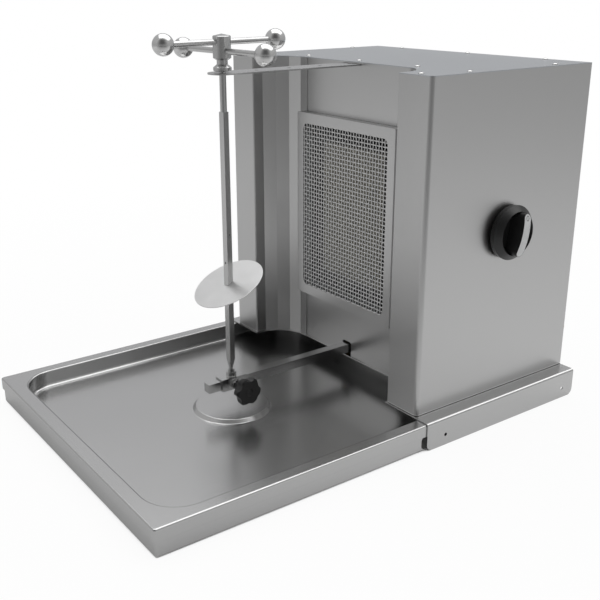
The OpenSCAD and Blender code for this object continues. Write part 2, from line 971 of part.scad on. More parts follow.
// Round skirt with a hollow face, and a bowed grip across it
module control_knob() {
    color(black_plastic)
    translate([0, knob_y, knob_z])
    rotate([-knob_turn, 0, 0])
    difference() {
        union() {
            translate([knob_face, 0, 0])
                rotate([0, 90, 0])
                rotate_extrude()
                polygon([[0, 0], [skirt_r - 1.5, 0], [skirt_r - 0.9, 0.6], [skirt_r, skirt_band],
                    [dish_r + 0.6, skirt_t], [dish_r, skirt_t], [dish_r - 7, dish_z], [0, dish_z]]);
            grip(grip_w, grip_l, knob_face + dish_z - 1, half_w + knob_out);
        }
        rod_x(knob_face - 1, half_w + 18 + pass_gap, stem_d / 2 + run_fit);
        grip(insert_w, insert_l, half_w + knob_out - insert_t - 8, half_w + knob_out + 1, 1);
        rod_x(knob_face - 1, knob_face + skirt_back, dish_r - 8);
    }
}

// Bar along Z with round ends and a bowed front at x1; as a cutter it only
// reaches down to the bowed floor of the insert's seat
module grip(w, l, x0, x1, cutter = 0) {
    bow = cutter == 1 ? half_w + knob_out - insert_t : x1;
    difference() {
        intersection() {
            translate([x0, 0, 0])
                rotate([0, 90, 0])
                linear_extrude(x1 - x0)
                round_rect(l, w, w / 2 - eps);
            if (cutter == 0) {
                bow_cylinder(bow);
            }
        }
        if (cutter == 1) {
            bow_cylinder(bow);
        }
    }
}

// Cylinder across the knob whose front comes to x1
module bow_cylinder(x1) {
    translate([x1 - grip_arc, grip_cut / 2, 0])
        rotate([90, 0, 0])
        cylinder(h = grip_cut, r = grip_arc, $fn = 200);
}

module knob_insert() {
    color([0.72, 0.73, 0.74])
    translate([0, knob_y, knob_z])
    rotate([-knob_turn, 0, 0])
    difference() {
        grip(insert_w - 2 * run_fit, insert_l - 2 * run_fit, half_w + 8, half_w + knob_out);
        bow_cylinder(half_w + knob_out - insert_t);
    }
}

module inlet_pipe() {
    drop_y = knob_y + valve_d / 2 + port_l + 2 * pipe_d;
    color(brass)
    pipe_run([
        [inlet_x, knob_y + valve_d / 2 + port_l, knob_z],
        [inlet_x, drop_y, knob_z],
        [inlet_x, drop_y, inlet_z],
        [inlet_x, body_back - panel_t - inlet_hex, inlet_z]
    ], pipe_bend, pipe_d, pipe_wall);
}

// Threaded inlet with a hexagon inside the panel and a locknut outside
module gas_inlet() {
    color(brass)
    translate([inlet_x, 0, inlet_z])
    difference() {
        union() {
            rod_y(body_back - panel_t - eps, body_back + inlet_out, inlet_d / 2);
            translate([0, body_back - panel_t, 0])
                rotate([90, 0, 0])
                hex_prism(inlet_d + 5, inlet_hex);
            translate([0, body_back + locknut_t, 0])
                rotate([90, 0, 0])
                hex_prism(inlet_d + 7, locknut_t);
        }
        rod_y(body_back - inlet_hex - 10, body_back + inlet_out + 1, pipe_d / 2 - pipe_wall);
    }
}

// Flame sensor in front of the lowest plate, with its lead to the valve
module thermocouple() {
    x = probe_x;
    y = probe_y;
    low = frame_mid - opening_h / 2 - 30;
    aside = valve_x - 12;
    color(bright_steel) {
        translate([x, y, low])
            cylinder(h = frame_mid - tiles_h / 2 + 22 - low, d = probe_d);
        pipe_run([
            [x, y, low + eps],
            [x, y, low - 14],
            [x, knob_y - 8, low - 14],
            [aside, knob_y - 8, low - 14],
            [aside, knob_y - 8, knob_z],
            [valve_x, knob_y - 8, knob_z]
        ], 8, 2.4, 0);
    }
}

bar_back = panel_y + bar_inside;
saddle_y = panel_y + 22;
saddle_l = 46;

module support_bar() {
    color(bright_steel)
    difference() {
        translate([-bar_side / 2, panel_y - bar_reach, bar_z - bar_side / 2])
            cube([bar_side, bar_reach + bar_inside, bar_side]);
        translate([0, saddle_y + saddle_l / 2, bar_z])
            rod_x(-bar_side, bar_side, 3 + run_fit);
    }
}

// Block on the base plate that holds the inner end of the bar
module bar_saddle() {
    w = bar_side + 16;
    h = bar_top - 2 - base_h;
    color(steel)
    difference() {
        translate([-w / 2, saddle_y, base_h])
            cube([w, saddle_l, h]);
        translate([-bar_side / 2, saddle_y - 1, bar_z - bar_side / 2])
            cube([bar_side, saddle_l + 2, h]);
        translate([0, saddle_y + saddle_l / 2, bar_z])
            rod_x(-w, w, 3 + run_fit);
    }
}

module saddle_bolt() {
    w = bar_side + 16;
    color(bright_steel)
    translate([0, saddle_y + saddle_l / 2, bar_z]) {
        rod_x(-w / 2 - 6, w / 2 + 8, 3);
        translate([w / 2, 0, 0])
            rotate([0, 90, 0])
            hex_prism(10, 5);
        translate([-w / 2 - 4, 0, 0])
            rotate([0, 90, 0])
            hex_prism(10, 4);
    }
}

stud_tip = bar_side / 2 + pass_gap;

module bar_sleeve() {
    hole = bar_side + 2 * sleeve_gap;
    color(steel)
    difference() {
        translate([-sleeve_side / 2, spit_y - sleeve_l / 2, bar_z - sleeve_side / 2])
            cube([sleeve_side, sleeve_l, sleeve_side]);
        translate([-hole / 2, spit_y - sleeve_l, bar_z - hole / 2])
            cube([hole, 2 * sleeve_l, hole]);
        translate([0, spit_y, bar_z])
            rod_x(0, sleeve_side, stud_d / 2 + run_fit);
    }
}

module clamp_nut() {
    color(bright_steel)
    translate([sleeve_side / 2, spit_y, bar_z])
    rotate([0, 90, 0])
    difference() {
        hex_prism(nut_af, nut_h);
        translate([0, 0, -1])
            cylinder(h = nut_h + 2, r = stud_d / 2 + run_fit);
    }
}

module pivot_nut() {
    color(bright_steel)
    translate([0, spit_y, sleeve_top])
    difference() {
        hex_prism(nut_af, nut_h);
        translate([0, 0, -1])
            cylinder(h = nut_h + 2, r = stud_d / 2 + run_fit);
    }
}

cup_d = 10;
cup_h = 4.6;
cup_z = sleeve_top + nut_h + 0.1;
socket_d = 6;
socket_depth = 3.6;
tip_d = 1.6;

// Turned cup whose shank sits in the upper nut and whose socket takes the point
module pivot_cup() {
    color(bright_steel)
    translate([0, spit_y, cup_z])
    difference() {
        union() {
            cylinder(h = cup_h, d = cup_d);
            translate([0, 0, -nut_h + 0.4])
                cylinder(h = nut_h, d = stud_d);
        }
        translate([0, 0, cup_h - socket_depth])
            cylinder(h = socket_depth + eps, d1 = tip_d, d2 = socket_d);
    }
}

module clamp_stud() {
    color(bright_steel)
    translate([0, spit_y, bar_z])
        rod_x(stud_tip, star_front - 4, stud_d / 2);
}

lobes = 6;
lobe_turn = 25;
lobe_r = 5.2;
hollow_r = 10;

// Lobed grip on a round boss
module star_knob() {
    back = star_front - star_t;
    boss = sleeve_side / 2 + nut_h + 2;
    color(black_plastic)
    translate([0, spit_y, bar_z])
    difference() {
        union() {
            intersection() {
                translate([back, 0, 0])
                    rotate([0, 90, 0])
                    linear_extrude(star_t)
                    star_outline();
                translate([back, 0, 0])
                    rotate([0, 90, 0])
                    rotate_extrude()
                    polygon([[0, 0], [star_d / 2 - 4, 0], [star_d / 2, 3], [star_d / 2, star_t - 2.5],
                        [star_d / 2 - 3, star_t], [0, star_t]]);
            }
            translate([boss, 0, 0])
                rotate([0, 90, 0])
                cylinder(h = back - boss + 2, d1 = 15, d2 = 24);
        }
        rod_x(boss - 1, star_front - 4 + run_fit, stud_d / 2);
    }
}

// Lobes on a core, and between them hollows that meet the lobes smoothly
// on the core's edge
module star_outline() {
    step = 360 / lobes;
    reach = star_d / 2 - lobe_r;
    aside = reach * sin(step / 2);
    hollow_reach = reach * cos(step / 2) + sqrt(pow(lobe_r + hollow_r, 2) - pow(aside, 2));
    share = lobe_r / (lobe_r + hollow_r);
    core = norm([reach + (hollow_reach * cos(step / 2) - reach) * share,
        hollow_reach * sin(step / 2) * share]);
    rotate(lobe_turn)
    difference() {
        union() {
            circle(core);
            for (i = [0:lobes - 1]) {
                rotate(i * step)
                    translate([reach, 0])
                    circle(lobe_r);
            }
        }
        for (i = [0:lobes - 1]) {
            rotate((i + 0.5) * step)
                translate([hollow_reach, 0])
                circle(hollow_r);
        }
    }
}

collar_z = arm_z + arm_t + 2;
collar_h = 14.2;
collar_neck = 7.3;
hub_z = collar_z + collar_h;

// Square spit, tapered to a point below and turned round above
module spit_shaft() {
    tip_z = cup_z + cup_h - socket_depth + pass_gap;
    cone_d = socket_d - 2 * pass_gap;
    neck_z = cup_z + cup_h + 0.2;
    top = hub_z + rod_low - rod_d / 2 - 1;
    diagonal = spit_side * sqrt(2);
    color(bright_steel)
    translate([0, spit_y, 0])
    difference() {
        union() {
            intersection() {
                rotate([0, 0, spit_turn])
                    translate([-spit_side / 2, -spit_side / 2, tip_z])
                    cube([spit_side, spit_side, shoulder_z - tip_z]);
                rotate_extrude()
                    polygon([[0, tip_z], [tip_d / 2, tip_z], [cone_d / 2, neck_z],
                        [diagonal / 2 + 0.2, taper_z], [diagonal / 2 + 0.2, shoulder_z],
                        [0, shoulder_z]]);
            }
            translate([0, 0, shoulder_z - eps])
                cylinder(h = top - shoulder_z, d = journal_d);
        }
        rotate([0, 0, spit_turn]) {
            translate([0, 0, disc_z + 72.5])
                rod_x(-spit_side, spit_side, pin_hole_d / 2);
            translate([0, 0, disc_z + 31.6])
                rod_y(-spit_side, spit_side, pin_hole_d / 2);
        }
    }
}

// The square hole is long enough for the disc to bind at its tilt
module meat_disc() {
    color([0.90, 0.90, 0.91])
    translate([0, spit_y, disc_z])
    difference() {
        rotate([disc_tilt, 0, 0])
            translate([0, 0, -disc_t / 2])
            cylinder(h = disc_t, r = disc_r, $fn = 96);
        rotate([0, 0, spit_turn])
            cube([spit_side + 2 * pass_gap, spit_side + 2 * pass_gap, 20], center = true);
    }
}

// Collar above the arm: a wide foot, a waist and a neck
module spit_collar() {
    foot_r = hub_d / 2 + 0.2;
    color(bright_steel)
    translate([0, spit_y, collar_z])
    difference() {
        rotate_extrude()
            polygon([[0, 0], [foot_r - 1, 0], [foot_r, 1], [foot_r, 4.6], [collar_neck, 8.6],
                [collar_neck, collar_h], [0, collar_h]]);
        translate([0, 0, -1])
            cylinder(h = collar_h + 2, r = journal_d / 2 + run_fit);
    }
}

hub_cone = 2.4;

module handle_hub() {
    r = hub_d / 2;
    color(bright_steel)
    translate([0, spit_y, hub_z])
    rotate([0, 0, handle_turn])
    difference() {
        rotate_extrude()
            polygon([[0, 0], [r - 3.6, 0], [r, 2.5], [r, hub_h - hub_cone - 0.8],
                [r - 0.8, hub_h - hub_cone], [0, hub_h]]);
        translate([0, 0, -1])
            cylinder(h = rod_low - rod_d / 2 + 0.5, r = journal_d / 2 + run_fit);
        translate([0, 0, rod_low])
            rod_x(-hub_d, hub_d, rod_d / 2 + run_fit);
        translate([0, 0, rod_low + rod_step])
            rod_y(-hub_d, hub_d, rod_d / 2 + run_fit);
    }
}

ball_bore = 9;
lower_half = lower_reach - ball_d / 2 + ball_bore;
upper_half = upper_reach - ball_d / 2 + ball_bore;

module handle_rods() {
    color(bright_steel)
    translate([0, spit_y, hub_z + rod_low])
    rotate([0, 0, handle_turn]) {
        rod_x(-lower_half, lower_half, rod_d / 2);
        translate([0, 0, rod_step])
            rod_y(-upper_half, upper_half, rod_d / 2);
    }
}

module handle_balls() {
    color(bright_steel)
    translate([0, spit_y, hub_z + rod_low])
    for (i = [0:3]) {
        lower = i % 2 == 0;
        rotate([0, 0, handle_turn + i * 90])
            translate([lower ? lower_reach : upper_reach, 0, lower ? 0 : rod_step])
            difference() {
                sphere(d = ball_d);
                rod_x(-ball_d, ball_bore - ball_d / 2, rod_d / 2 + run_fit);
            }
    }
}

module top_arm() {
    color(steel)
    difference() {
        translate([0, spit_y, arm_z])
            linear_extrude(arm_t) {
                circle(arm_w / 2);
                translate([-arm_w / 2, 0])
                    square([arm_w, arm_l]);
            }
        translate([0, spit_y, arm_z - 1])
            cylinder(h = arm_t + 2, r = journal_d / 2 + run_fit);
        for (i = [1:4]) {
            translate([0, spit_y + i * arm_pitch, arm_z - 1])
                cylinder(h = arm_t + 2, d = arm_hole_d);
        }
    }
}

// Channel under the flange that the arm slides in
module arm_guide() {
    wall = 6;
    w = arm_w + 2 * pass_gap + 2 * wall;
    color(steel)
    difference() {
        translate([-w / 2, panel_y + panel_t, arm_z - 3])
            cube([w, flange_w + 5, flange_z - arm_z + 3]);
        translate([-arm_w / 2 - pass_gap, panel_y, arm_z - pass_gap])
            cube([arm_w + 2 * pass_gap, flange_w + 20, arm_t + 3]);
    }
}

translate([0, -depth_total / 2, 0]) {
    base_plate();
    drip_tray();
    tray_feet();
    right_side_panel();
    left_side_panel();
    right_reflector();
    left_reflector();
    centre_panel();
    back_panel();
    top_cover();
    cover_screws();
    back_screws();
    burner_frame();
    burner_mesh();
    burner_housing();
    burner_body();
    ceramic_plates();
    mixing_tube();
    gas_injector();
    gas_pipe();
    gas_valve();
    valve_push_rod();
    valve_stem();
    control_knob();
    knob_insert();
    inlet_pipe();
    gas_inlet();
    thermocouple();
    support_bar();
    bar_saddle();
    saddle_bolt();
    bar_sleeve();
    clamp_nut();
    pivot_nut();
    pivot_cup();
    clamp_stud();
    star_knob();
    spit_shaft();
    meat_disc();
    spit_collar();
    handle_hub();
    handle_rods();
    handle_balls();
    top_arm();
    arm_guide();
}
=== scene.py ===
"""Blender scene of a table-top gas gyro grill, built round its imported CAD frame."""

import math

import bpy
from mathutils import Matrix, Vector
from mathutils.bvhtree import BVHTree


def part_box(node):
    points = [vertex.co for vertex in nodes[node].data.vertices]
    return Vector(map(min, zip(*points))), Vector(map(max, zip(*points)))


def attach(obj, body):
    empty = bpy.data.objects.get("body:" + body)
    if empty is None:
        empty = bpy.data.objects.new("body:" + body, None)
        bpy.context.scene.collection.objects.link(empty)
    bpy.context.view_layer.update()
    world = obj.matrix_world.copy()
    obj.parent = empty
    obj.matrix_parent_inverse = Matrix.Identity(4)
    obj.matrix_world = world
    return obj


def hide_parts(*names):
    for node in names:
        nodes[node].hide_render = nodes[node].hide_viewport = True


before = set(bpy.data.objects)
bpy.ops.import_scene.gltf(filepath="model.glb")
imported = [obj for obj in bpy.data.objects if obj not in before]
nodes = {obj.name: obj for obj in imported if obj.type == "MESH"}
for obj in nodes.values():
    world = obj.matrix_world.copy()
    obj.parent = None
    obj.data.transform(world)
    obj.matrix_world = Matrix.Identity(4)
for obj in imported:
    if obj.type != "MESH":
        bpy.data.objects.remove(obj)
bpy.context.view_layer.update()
scene = bpy.context.scene
MM = 0.001


# ---------------------------------------------------------------- geometry helpers


def node_mid(name):
    """The centre of a CAD node's box."""
    low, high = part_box(name)
    return (low + high) / 2


def add_mesh(name, verts, faces, body, material, slot, smooth=True):
    """A new piece from vertices and faces, riding on a body."""
    mesh = bpy.data.meshes.new(name)
    mesh.from_pydata(verts, [], faces)
    mesh.update()
    mesh.polygons.foreach_set("use_smooth", [smooth] * len(mesh.polygons))
    obj = bpy.data.objects.new(name, mesh)
    scene.collection.objects.link(obj)
    mesh.materials.append(material)
    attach(obj, body)
    return obj


def ring_faces(rings, sides, closed=False):
    """Quads from each ring of vertices to the next, and from the last to the first if closed."""
    faces = []
    for i in range(rings if closed else rings - 1):
        here, there = i * sides, (i + 1) % rings * sides
        for k in range(sides):
            m = (k + 1) % sides
            faces.append((here + k, here + m, there + m, there + k))
    return faces


def tube_along(points, radius, sides, closed=False):
    """Vertices and faces of a round tube along a line of points."""
    verts = []
    count = len(points)
    up = Vector((0, 0, 1))
    for i, p in enumerate(points):
        before = points[i - 1] if closed or i else points[0]
        after = points[(i + 1) % count] if closed or i < count - 1 else points[-1]
        along = (after - before).normalized()
        side = along.cross(up if abs(along.z) < 0.9 else Vector((1, 0, 0))).normalized()
        lift = side.cross(along)
        for k in range(sides):
            a = 2 * math.pi * k / sides
            verts.append(p + radius * (math.cos(a) * side + math.sin(a) * lift))
    faces = ring_faces(count, sides, closed)
    if not closed:
        faces.append(tuple(range(sides)))
        last = (count - 1) * sides
        faces.append(tuple(last + k for k in reversed(range(sides))))
    return verts, faces


def join_parts(parts):
    """One list of vertices and faces from several."""
    verts, faces = [], []
    for part_verts, part_faces in parts:
        start = len(verts)
        verts.extend(part_verts)
        faces.extend(tuple(start + i for i in face) for face in part_faces)
    return verts, faces


# ---------------------------------------------------------------- materials


class Tree:
    """Short names for building a node tree."""

    def __init__(self, tree, coords):
        self.tree = tree
        self.coords = tree.nodes.new("ShaderNodeTexCoord").outputs[coords]

    def new(self, kind, **values):
        """A new node with its properties, and its inputs' values with _ for spaces."""
        node = self.tree.nodes.new(kind)
        for key, value in values.items():
            if hasattr(node, key):
                setattr(node, key, value)
            else:
                node.inputs[key.replace("_", " ")].default_value = value
        return node

    def link(self, a, b):
        self.tree.links.new(a, b)

    def new_from(self, socket, kind, **values):
        """A new node whose first input is fed by a socket."""
        node = self.new(kind, **values)
        self.link(socket, node.inputs[0])
        return node

    def axes(self):
        """The coordinates' X, Y and Z."""
        return tuple(self.new_from(self.coords, "ShaderNodeSeparateXYZ").outputs)

    def noise(self, scale, stretch=(1, 1, 1), detail=3.0):
        """Noise over the coordinates, stretched along the axes."""
        place = self.new("ShaderNodeMapping")
        place.inputs["Scale"].default_value = stretch
        self.link(self.coords, place.inputs["Vector"])
        noise = self.new("ShaderNodeTexNoise", Scale=scale, Detail=detail)
        self.link(place.outputs["Vector"], noise.inputs["Vector"])
        return noise.outputs["Fac"]

    def spread(self, value, low, high, start=0.3, end=0.7):
        """value, from start to end, carried to low to high."""
        rng = self.new("ShaderNodeMapRange")
        rng.inputs["From Min"].default_value = start
        rng.inputs["From Max"].default_value = end
        rng.inputs["To Min"].default_value = low
        rng.inputs["To Max"].default_value = high
        self.link(value, rng.inputs["Value"])
        return rng.outputs["Result"]

    def feed(self, socket, value):
        """Link or set one input."""
        if isinstance(value, bpy.types.NodeSocket):
            self.link(value, socket)
        elif isinstance(value, tuple):
            socket.default_value = (*value, 1)
        else:
            socket.default_value = value

    def maths(self, kind, *values):
        """A sum, product or other operation on sockets and numbers."""
        node = self.new("ShaderNodeMath", operation=kind)
        for socket, value in zip(node.inputs, values):
            self.feed(socket, value)
        return node.outputs[0]

    def blend(self, factor, one, two):
        """From one colour to another."""
        mix = self.new("ShaderNodeMix", data_type="RGBA")
        self.link(factor, mix.inputs["Factor"])
        self.feed(mix.inputs[6], one)
        self.feed(mix.inputs[7], two)
        return mix.outputs[2]

    def blend_level(self, factor, one, two):
        """From one number to another."""
        mix = self.new("ShaderNodeMix", data_type="FLOAT")
        self.link(factor, mix.inputs["Factor"])
        self.feed(mix.inputs[2], one)
        self.feed(mix.inputs[3], two)
        return mix.outputs[0]

    def band(self, value, middle, core, edge):
        """1 within core of the middle, falling to 0 at edge."""
        off = self.maths("ABSOLUTE", self.maths("SUBTRACT", value, middle))
        return self.spread(off, 1.0, 0.0, core, edge)

    def towards(self, x, y, direction):
        """How far x and y go along a horizontal direction."""
        part = self.maths("MULTIPLY", y, direction[1])
        return self.maths("MULTIPLY_ADD", x, direction[0], part)

    def bump(self, height, strength, distance):
        """A normal from a height."""
        bump = self.new("ShaderNodeBump", Strength=strength, Distance=distance)
        self.link(height, bump.inputs["Height"])
        return bump.outputs["Normal"]


class Nodes(Tree):
    """One material's node tree."""

    def __init__(self, name):
        self.material = bpy.data.materials.new(name)
        self.material.use_nodes = True
        super().__init__(self.material.node_tree, "Object")
        self.shader = self.tree.nodes["Principled BSDF"]

    def set(self, **values):
        """Feed the shader's inputs, whose names have _ for spaces here."""
        for key, value in values.items():
            self.feed(self.shader.inputs[key.replace("_", " ")], value)
        return self.material


def grey(level, warmth=0.0):
    """A grey of that linear level, a little warm or cold."""
    return (level * (1 + warmth), level, level * (1 - warmth))


# Noise scales of the grain across and along the brushing and of the smudges, how far either
# moves the roughness, how far smudges move the level, and the grain's bump (strength, distance)
GRAIN_ACROSS = 1600.0
GRAIN_ALONG = 8.0
SMUDGE_SCALE = 5.0
GRAIN_ROUGH = 0.008
SMUDGE_LEVEL = 0.015
GRAIN_BUMP = (0.05, 0.005 * MM)


def brushed(name, level, rough, along, warmth=0.0, painted_light_over=None):
    """Satin sheet steel whose fine grain runs along the X, Y or Z axis, with painted light and
    shade laid over it if given.
    """
    n = Nodes(name)
    stretch = tuple(GRAIN_ALONG if axis == along else GRAIN_ACROSS for axis in "XYZ")
    lines = n.noise(1.0, stretch, 1.0)
    smudge = n.noise(SMUDGE_SCALE)
    rough_lines = n.spread(lines, rough - GRAIN_ROUGH, rough + GRAIN_ROUGH)
    rough_smudge = n.spread(smudge, -GRAIN_ROUGH, GRAIN_ROUGH)
    dull, clear = (grey(level * (1 + side * SMUDGE_LEVEL), warmth) for side in (-1, 1))
    tint = n.blend(smudge, dull, clear)
    return n.set(
        # Painted highlights and painted shade lines may be laid over the steel's colour here
        Base_Color=painted_light_over(n, tint) if painted_light_over else tint,
        Metallic=1.0,
        Roughness=n.maths("ADD", rough_lines, rough_smudge),
        Normal=n.bump(lines, *GRAIN_BUMP),
    )


# The tray's basin in the shared frame: half sizes, middle along Y, corner, and the rim's bend
BASIN_HALF = (231.5 * MM, 258.0 * MM)
BASIN_MIDDLE = -97.9 * MM
BASIN_R = 50.0 * MM
BASIN_BEND = 2.0 * MM
# The heights between which the basin's painted shade line comes up, just under the tray's top
RIM_SPAN = (38.5 * MM, 39.0 * MM)
# The height of the skirt's step, and how far past the basin's edge its painted shade line comes up
STEP_HEIGHT = 22.2 * MM
STEP_SPAN = (10.0 * MM, 15.0 * MM)
# How strong the painted shade under the skirt's step is
STEP_SHADE_SHARE = 0.5
# Half the width of the painted shade lines, inside and outside their soft edge, and their level
SHADE_LINE_HALF = (0.36 * MM, 0.6 * MM)
SHADE_LINE_LEVEL = 0.32


def painted_tray_shade(n, tint):
    """Painted shade: thin dark lines in the gap at the edge of the tray's basin and under its
    skirt's step.
    """
    x, y, up = n.axes()

    def past_corner(value, middle, half):
        """How far a coordinate lies past the start of the basin's rounded corner."""
        off = n.maths("ABSOLUTE", n.maths("SUBTRACT", value, middle))
        return n.maths("SUBTRACT", off, half - BASIN_R)

    over_x = past_corner(x, 0.0, BASIN_HALF[0])
    over_y = past_corner(y, BASIN_MIDDLE, BASIN_HALF[1])
    corner = n.new("ShaderNodeCombineXYZ")
    n.link(n.maths("MAXIMUM", over_x, 0.0), corner.inputs["X"])
    n.link(n.maths("MAXIMUM", over_y, 0.0), corner.inputs["Y"])
    reach = n.new_from(corner.outputs[0], "ShaderNodeVectorMath", operation="LENGTH")
    inner = n.maths("MINIMUM", n.maths("MAXIMUM", over_x, over_y), 0.0)
    past_edge = n.maths("SUBTRACT", n.maths("ADD", reach.outputs["Value"], inner), BASIN_R)
    on_top = n.spread(up, 0.0, 1.0, *RIM_SPAN)
    # Painted shade in the gap at the basin's edge, on the tray's top only
    rim_shade = n.maths("MULTIPLY", n.band(past_edge, BASIN_BEND, *SHADE_LINE_HALF), on_top)
    outside = n.spread(past_edge, 0.0, 1.0, *STEP_SPAN)
    # Painted shade under the skirt's step, at part strength
    step_shade = n.maths("MULTIPLY", n.band(up, STEP_HEIGHT, *SHADE_LINE_HALF), STEP_SHADE_SHARE)
    lines = n.maths("MAXIMUM", rim_shade, n.maths("MULTIPLY", step_shade, outside))
    # The steel's colour is darkened where the painted shade lines lie
    return n.blend(lines, tint, grey(SHADE_LINE_LEVEL))


# The height of the side panels' lower edge. Over it come the painted highlight line's middle, its
# half width inside and outside its soft edge and its level, then the painted shade seam's top and
# level likewise
PANEL_FOOT = 42.0 * MM
FOOT_HIGHLIGHT_RISE = 1.5 * MM
FOOT_HIGHLIGHT_HALF = (0.4 * MM, 0.6 * MM)
FOOT_HIGHLIGHT_LEVEL = 1.0
FOOT_SHADE_TOP = (0.8 * MM, 1.0 * MM)
FOOT_SHADE_LEVEL = 0.12


def painted_foot_light(n, tint):
    """Painted highlight along a panel's lower edge and painted shade in the seam where it stands
    on the base plate.
    """
    over = n.maths("SUBTRACT", n.axes()[2], PANEL_FOOT)
    # Painted highlight: a white line just over the panel's foot
    tint = n.blend(n.band(over, FOOT_HIGHLIGHT_RISE, *FOOT_HIGHLIGHT_HALF), tint, grey(FOOT_HIGHLIGHT_LEVEL))
    # Painted shade: a dark line in the crease at the panel's foot
    return n.blend(n.spread(over, 1.0, 0.0, *FOOT_SHADE_TOP), tint, grey(FOOT_SHADE_LEVEL))


def polished(name, level, rough):
    """Turned or polished steel with faint handling marks."""
    n = Nodes(name)
    marks = n.noise(60.0, detail=4.0)
    fine = n.noise(900.0, detail=2.0)
    return n.set(
        Base_Color=n.blend(marks, grey(level * 0.98), grey(level * 1.02)),
        Metallic=1.0,
        Roughness=n.spread(marks, rough * 0.92, rough * 1.1),
        Normal=n.bump(fine, 0.01, 0.1 * MM),
    )


def shaded(colour, share):
    """A colour at a share of its level."""
    return tuple(c * share for c in colour)


def moulded(name, colour, rough):
    """Moulded plastic or rubber with a fine spark-eroded texture."""
    n = Nodes(name)
    pores = n.noise(1400.0, detail=2.0)
    wear = n.noise(35.0)
    return n.set(
        Base_Color=n.blend(wear, shaded(colour, 0.85), shaded(colour, 1.2)),
        Roughness=n.spread(wear, rough - 0.05, rough + 0.06),
        Normal=n.bump(pores, 0.25, 0.1 * MM),
    )


def perforated_ceramic(name, colour, pitch):
    """Ceramic with a grid of small flame holes over the X and Z axes, with painted shade in them.
    """
    n = Nodes(name)
    x, _, z = n.axes()
    waves = [
        n.maths("SINE", n.maths("MULTIPLY", place, 2 * math.pi / pitch)) for place in (x, z)
    ]
    holes = n.spread(n.maths("MULTIPLY", *waves), 0.0, 1.0, 0.25, 0.6)
    stain = n.noise(25.0, detail=4.0)
    clay = n.blend(stain, shaded(colour, 0.85), colour)
    return n.set(
        # Painted shade: the clay is darker in the flame holes, for the shade inside them
        Base_Color=n.blend(holes, clay, shaded(colour, 0.6)),
        Roughness=n.spread(stain, 0.8, 0.95),
        Normal=n.bump(n.maths("SUBTRACT", 1.0, holes), 0.5, 0.5 * MM),
    )


def cast_brass(name):
    """Cast and turned brass, darker in patches."""
    n = Nodes(name)
    marks = n.noise(80.0, detail=4.0)
    return n.set(
        Base_Color=n.blend(marks, (0.62, 0.44, 0.20), (0.78, 0.60, 0.31)),
        Metallic=1.0,
        Roughness=n.spread(marks, 0.25, 0.42),
        Normal=n.bump(n.noise(600.0), 0.1, 0.2 * MM),
    )


# The base level of all the machine's plain steel
STEEL = 0.60
# The side panels carry a painted highlight and painted shade at their foot, the tray painted shade
# lines
side_steel = brushed("side_steel", STEEL, 0.35, "Z", painted_light_over=painted_foot_light)
cover_steel = brushed("cover_steel", STEEL * 0.98, 0.30, "X", warmth=-0.04)
plate_steel = brushed("plate_steel", STEEL, 0.25, "Y")
tray_steel = brushed("tray_steel", STEEL, 0.25, "Y", painted_light_over=painted_tray_shade)
reflector_steel = brushed("reflector_steel", STEEL, 0.31, "Z")
frame_steel = brushed("frame_steel", STEEL, 0.33, "Z")
arm_steel = brushed("arm_steel", STEEL, 0.24, "Y")
bar_steel = brushed("bar_steel", STEEL, 0.24, "Y")
spit_steel = brushed("spit_steel", STEEL, 0.24, "Z")
ball_steel = polished("ball_steel", STEEL * 1.18, 0.19)
turned_steel = polished("turned_steel", STEEL, 0.22)
disc_steel = polished("disc_steel", 0.84, 0.32)
wire_steel = polished("wire_steel", 0.80, 0.38)
screw_steel = polished("screw_steel", STEEL, 0.14)
housing_steel = brushed("housing_steel", 0.16, 0.55, "Z", warmth=0.03)
brass = cast_brass("brass")
ceramic = perforated_ceramic("ceramic", (0.50, 0.475, 0.40), 2.6 * MM)
black_plastic = moulded("black_plastic", (0.013, 0.013, 0.0135), 0.34)
insert_plastic = moulded("insert_plastic", (0.66, 0.665, 0.67), 0.4)
mark_ink = moulded("mark_ink", (0.12, 0.12, 0.125), 0.5)
foot_rubber = moulded("foot_rubber", (0.03, 0.03, 0.03), 0.7)

FINISH = {
    side_steel: ["right_side_panel", "left_side_panel", "back_panel"],
    cover_steel: ["top_cover"],
    plate_steel: ["base_plate"],
    tray_steel: ["drip_tray"],
    reflector_steel: ["right_reflector", "left_reflector", "centre_panel"],
    frame_steel: ["burner_frame"],
    arm_steel: ["top_arm"],
    bar_steel: ["support_bar", "bar_sleeve"],
    spit_steel: ["spit_shaft"],
    ball_steel: ["handle_balls"],
    turned_steel: [
        "handle_hub", "handle_rods", "spit_collar", "pivot_cup", "pivot_nut", "clamp_nut",
        "valve_stem", "valve_push_rod", "thermocouple", "saddle_bolt", "clamp_stud",
    ],
    disc_steel: ["meat_disc"],
    wire_steel: ["burner_mesh"],
    screw_steel: ["cover_screws", "back_screws"],
    housing_steel: ["burner_housing", "burner_body", "bar_saddle", "arm_guide", "mixing_tube"],
    ceramic: ["ceramic_plates"],
    brass: ["gas_injector", "gas_pipe", "gas_valve", "inlet_pipe", "gas_inlet"],
    black_plastic: ["control_knob", "star_knob"],
    insert_plastic: ["knob_insert"],
    foot_rubber: ["tray_feet"],
}
# Bevel widths, in millimetres, of the nodes whose edges catch light
BEVEL = {
    "base_plate": 0.6, "drip_tray": 0.4, "right_side_panel": 0.4, "left_side_panel": 0.4,
    "top_cover": 0.55, "burner_frame": 0.5, "support_bar": 1.1, "bar_sleeve": 1.0,
    "spit_shaft": 0.6, "top_arm": 0.6, "pivot_nut": 0.5, "clamp_nut": 0.5, "meat_disc": 0.3,
    "star_knob": 1.2, "control_knob": 0.8, "knob_insert": 0.3, "back_panel": 0.3,
}
